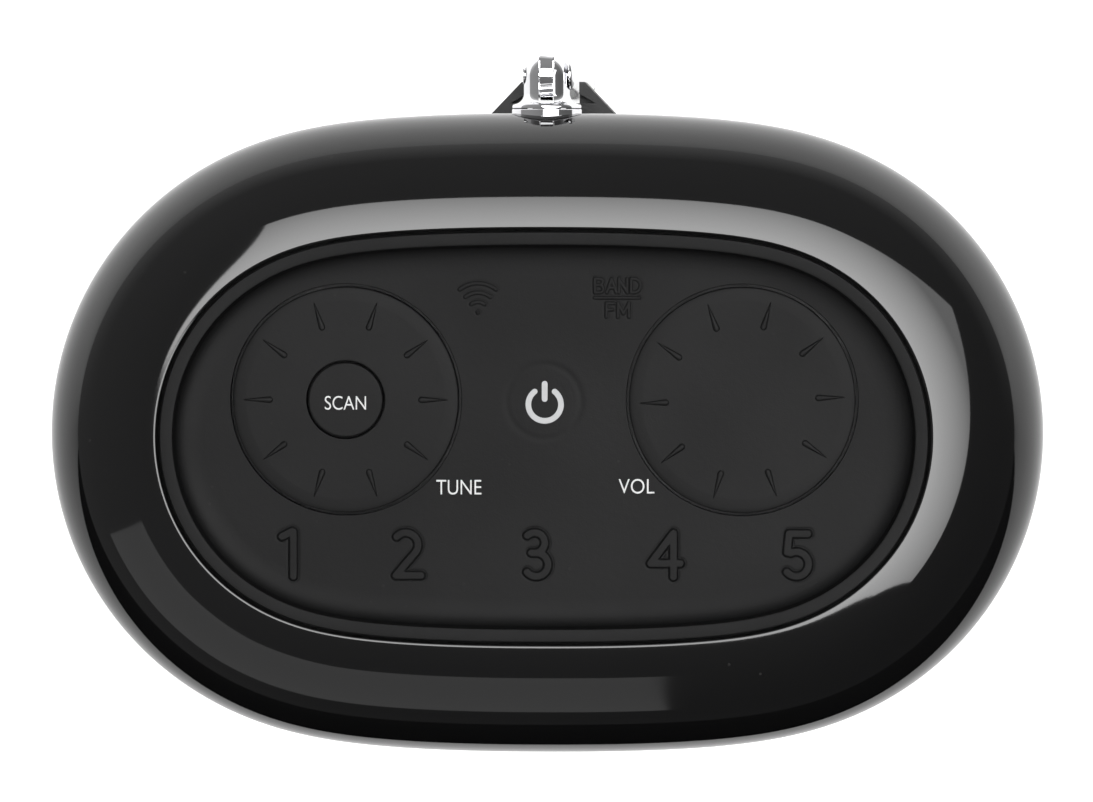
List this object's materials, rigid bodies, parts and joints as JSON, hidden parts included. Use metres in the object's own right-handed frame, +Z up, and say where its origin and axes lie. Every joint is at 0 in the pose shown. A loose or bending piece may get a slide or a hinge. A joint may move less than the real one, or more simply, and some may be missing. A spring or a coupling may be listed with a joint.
{
  "type": "tabletop radio",
  "caption": "Upright oval portable radio with finger dials and rubber keys on its top, a front speaker grille and a telescopic aerial folded down its back.",
  "frame": {"origin": "middle of the rubber foot's underside, on the surface the radio stands on", "axes": "+Z up, the speaker grille and display face -Y, the aerial is on the +Y side, +X to the right seen from the front"},
  "size_m": [0.118, 0.0835, 0.2],
  "materials": {
    "gloss_shell": "piano black",
    "matte_shell": "fine texture",
    "inner_plastic": "moulded",
    "clip_plastic": "moulded",
    "key_rubber": "soft touch",
    "foot_rubber": "matt",
    "grille_steel": "powder coat",
    "chrome": "polished",
    "zinc": "zinc plated",
    "circuit_board": "solder mask",
    "battery_wrap": "shrink wrap",
    "magnet": "ferrite",
    "cone": "pressed paper",
    "window": "smoked"
  },
  "bodies": {
    "radio": {"top_shell": "gloss_shell", "control_skin": "key_rubber", "control_deck": "inner_plastic", "tune_encoder": "zinc", "volume_encoder": "zinc", "scan_switch": "inner_plastic", "power_switch": "inner_plastic", "wireless_switch": "inner_plastic", "band_switch": "inner_plastic", "preset_switch_1": "inner_plastic", "preset_switch_2": "inner_plastic", "preset_switch_3": "inner_plastic", "preset_switch_4": "inner_plastic", "preset_switch_5": "inner_plastic", "control_board": "circuit_board", "board_screw_1": "zinc", "board_screw_2": "zinc", "display_window": "window", "display_module": "circuit_board", "front_grille": "grille_steel", "front_baffle": "inner_plastic", "driver_basket": "grille_steel", "driver_magnet": "magnet", "driver_cone": "cone", "driver_surround": "key_rubber", "passive_frame": "inner_plastic", "passive_surround": "key_rubber", "passive_diaphragm": "cone", "rear_housing": "matte_shell", "main_board": "circuit_board", "battery_pack": "battery_wrap", "usb_socket": "zinc", "aux_socket": "inner_plastic", "antenna_clip": "clip_plastic", "base_cover": "gloss_shell", "base_foot": "foot_rubber", "base_screw_1": "zinc", "base_screw_2": "zinc", "base_screw_3": "zinc", "base_screw_4": "zinc"},
    "tuning_dial": {"tune_dial": "key_rubber"},
    "loudness_dial": {"volume_dial": "key_rubber"},
    "scan_key": {"scan_button": "key_rubber"},
    "power": {"power_key": "key_rubber"},
    "wireless": {"wireless_key": "key_rubber"},
    "band": {"band_key": "key_rubber"},
    "preset_1": {"preset_key_1": "key_rubber"},
    "preset_2": {"preset_key_2": "key_rubber"},
    "preset_3": {"preset_key_3": "key_rubber"},
    "preset_4": {"preset_key_4": "key_rubber"},
    "preset_5": {"preset_key_5": "key_rubber"},
    "flap": {"port_flap": "key_rubber"},
    "aerial_base": {"antenna_knuckle": "chrome", "antenna_pin": "chrome", "antenna_screw": "zinc"},
    "aerial_1": {"antenna_section_1": "chrome"},
    "aerial_2": {"antenna_section_2": "chrome"},
    "aerial_3": {"antenna_section_3": "chrome"},
    "aerial_4": {"antenna_section_4": "chrome"},
    "aerial_5": {"antenna_section_5": "chrome"}
  },
  "joints": [
    {"name": "tune_dial_spin", "type": "hinge", "parent": "radio", "child": "tuning_dial", "pos_m": [-0.0233, 0.0043, 0.19], "axis": [0, 0, 1], "continuous": true},
    {"name": "volume_dial_spin", "type": "hinge", "parent": "radio", "child": "loudness_dial", "pos_m": [0.0233, 0.0043, 0.19], "axis": [0, 0, 1], "continuous": true},
    {"name": "scan_press", "type": "slide", "parent": "radio", "child": "scan_key", "axis": [0, 0, -1], "range_m": [0, 0.0004], "stiffness_N_per_m": 500},
    {"name": "power_press", "type": "slide", "parent": "radio", "child": "power", "axis": [0, 0, -1], "range_m": [0, 0.0004], "stiffness_N_per_m": 500},
    {"name": "wireless_press", "type": "slide", "parent": "radio", "child": "wireless", "axis": [0, 0, -1], "range_m": [0, 0.0004], "stiffness_N_per_m": 500},
    {"name": "band_press", "type": "slide", "parent": "radio", "child": "band", "axis": [0, 0, -1], "range_m": [0, 0.0004], "stiffness_N_per_m": 500},
    {"name": "preset_1_press", "type": "slide", "parent": "radio", "child": "preset_1", "axis": [0, 0, -1], "range_m": [0, 0.0004], "stiffness_N_per_m": 500},
    {"name": "preset_2_press", "type": "slide", "parent": "radio", "child": "preset_2", "axis": [0, 0, -1], "range_m": [0, 0.0004], "stiffness_N_per_m": 500},
    {"name": "preset_3_press", "type": "slide", "parent": "radio", "child": "preset_3", "axis": [0, 0, -1], "range_m": [0, 0.0004], "stiffness_N_per_m": 500},
    {"name": "preset_4_press", "type": "slide", "parent": "radio", "child": "preset_4", "axis": [0, 0, -1], "range_m": [0, 0.0004], "stiffness_N_per_m": 500},
    {"name": "preset_5_press", "type": "slide", "parent": "radio", "child": "preset_5", "axis": [0, 0, -1], "range_m": [0, 0.0004], "stiffness_N_per_m": 500},
    {"name": "port_flap_open", "type": "hinge", "parent": "radio", "child": "flap", "pos_m": [-0.015, 0.0379, 0.034], "axis": [0, 0, 1], "range_deg": [0, 110]},
    {"name": "aerial_swivel", "type": "hinge", "parent": "radio", "child": "aerial_base", "pos_m": [0, 0.0425, 0.1855], "axis": [0, 1, 0], "continuous": true, "deforming": ["antenna_clip"]},
    {"name": "aerial_tilt", "type": "hinge", "parent": "aerial_base", "child": "aerial_1", "pos_m": [0, 0.0425, 0.1855], "axis": [1, 0, 0], "range_deg": [0, 180]},
    {"name": "aerial_slide_1", "type": "slide", "parent": "aerial_1", "child": "aerial_2", "axis": [0, 0, -1], "range_m": [0, 0.095]},
    {"name": "aerial_slide_2", "type": "slide", "parent": "aerial_2", "child": "aerial_3", "axis": [0, 0, -1], "range_m": [0, 0.095]},
    {"name": "aerial_slide_3", "type": "slide", "parent": "aerial_3", "child": "aerial_4", "axis": [0, 0, -1], "range_m": [0, 0.095]},
    {"name": "aerial_slide_4", "type": "slide", "parent": "aerial_4", "child": "aerial_5", "axis": [0, 0, -1], "range_m": [0, 0.095]}
  ]
}
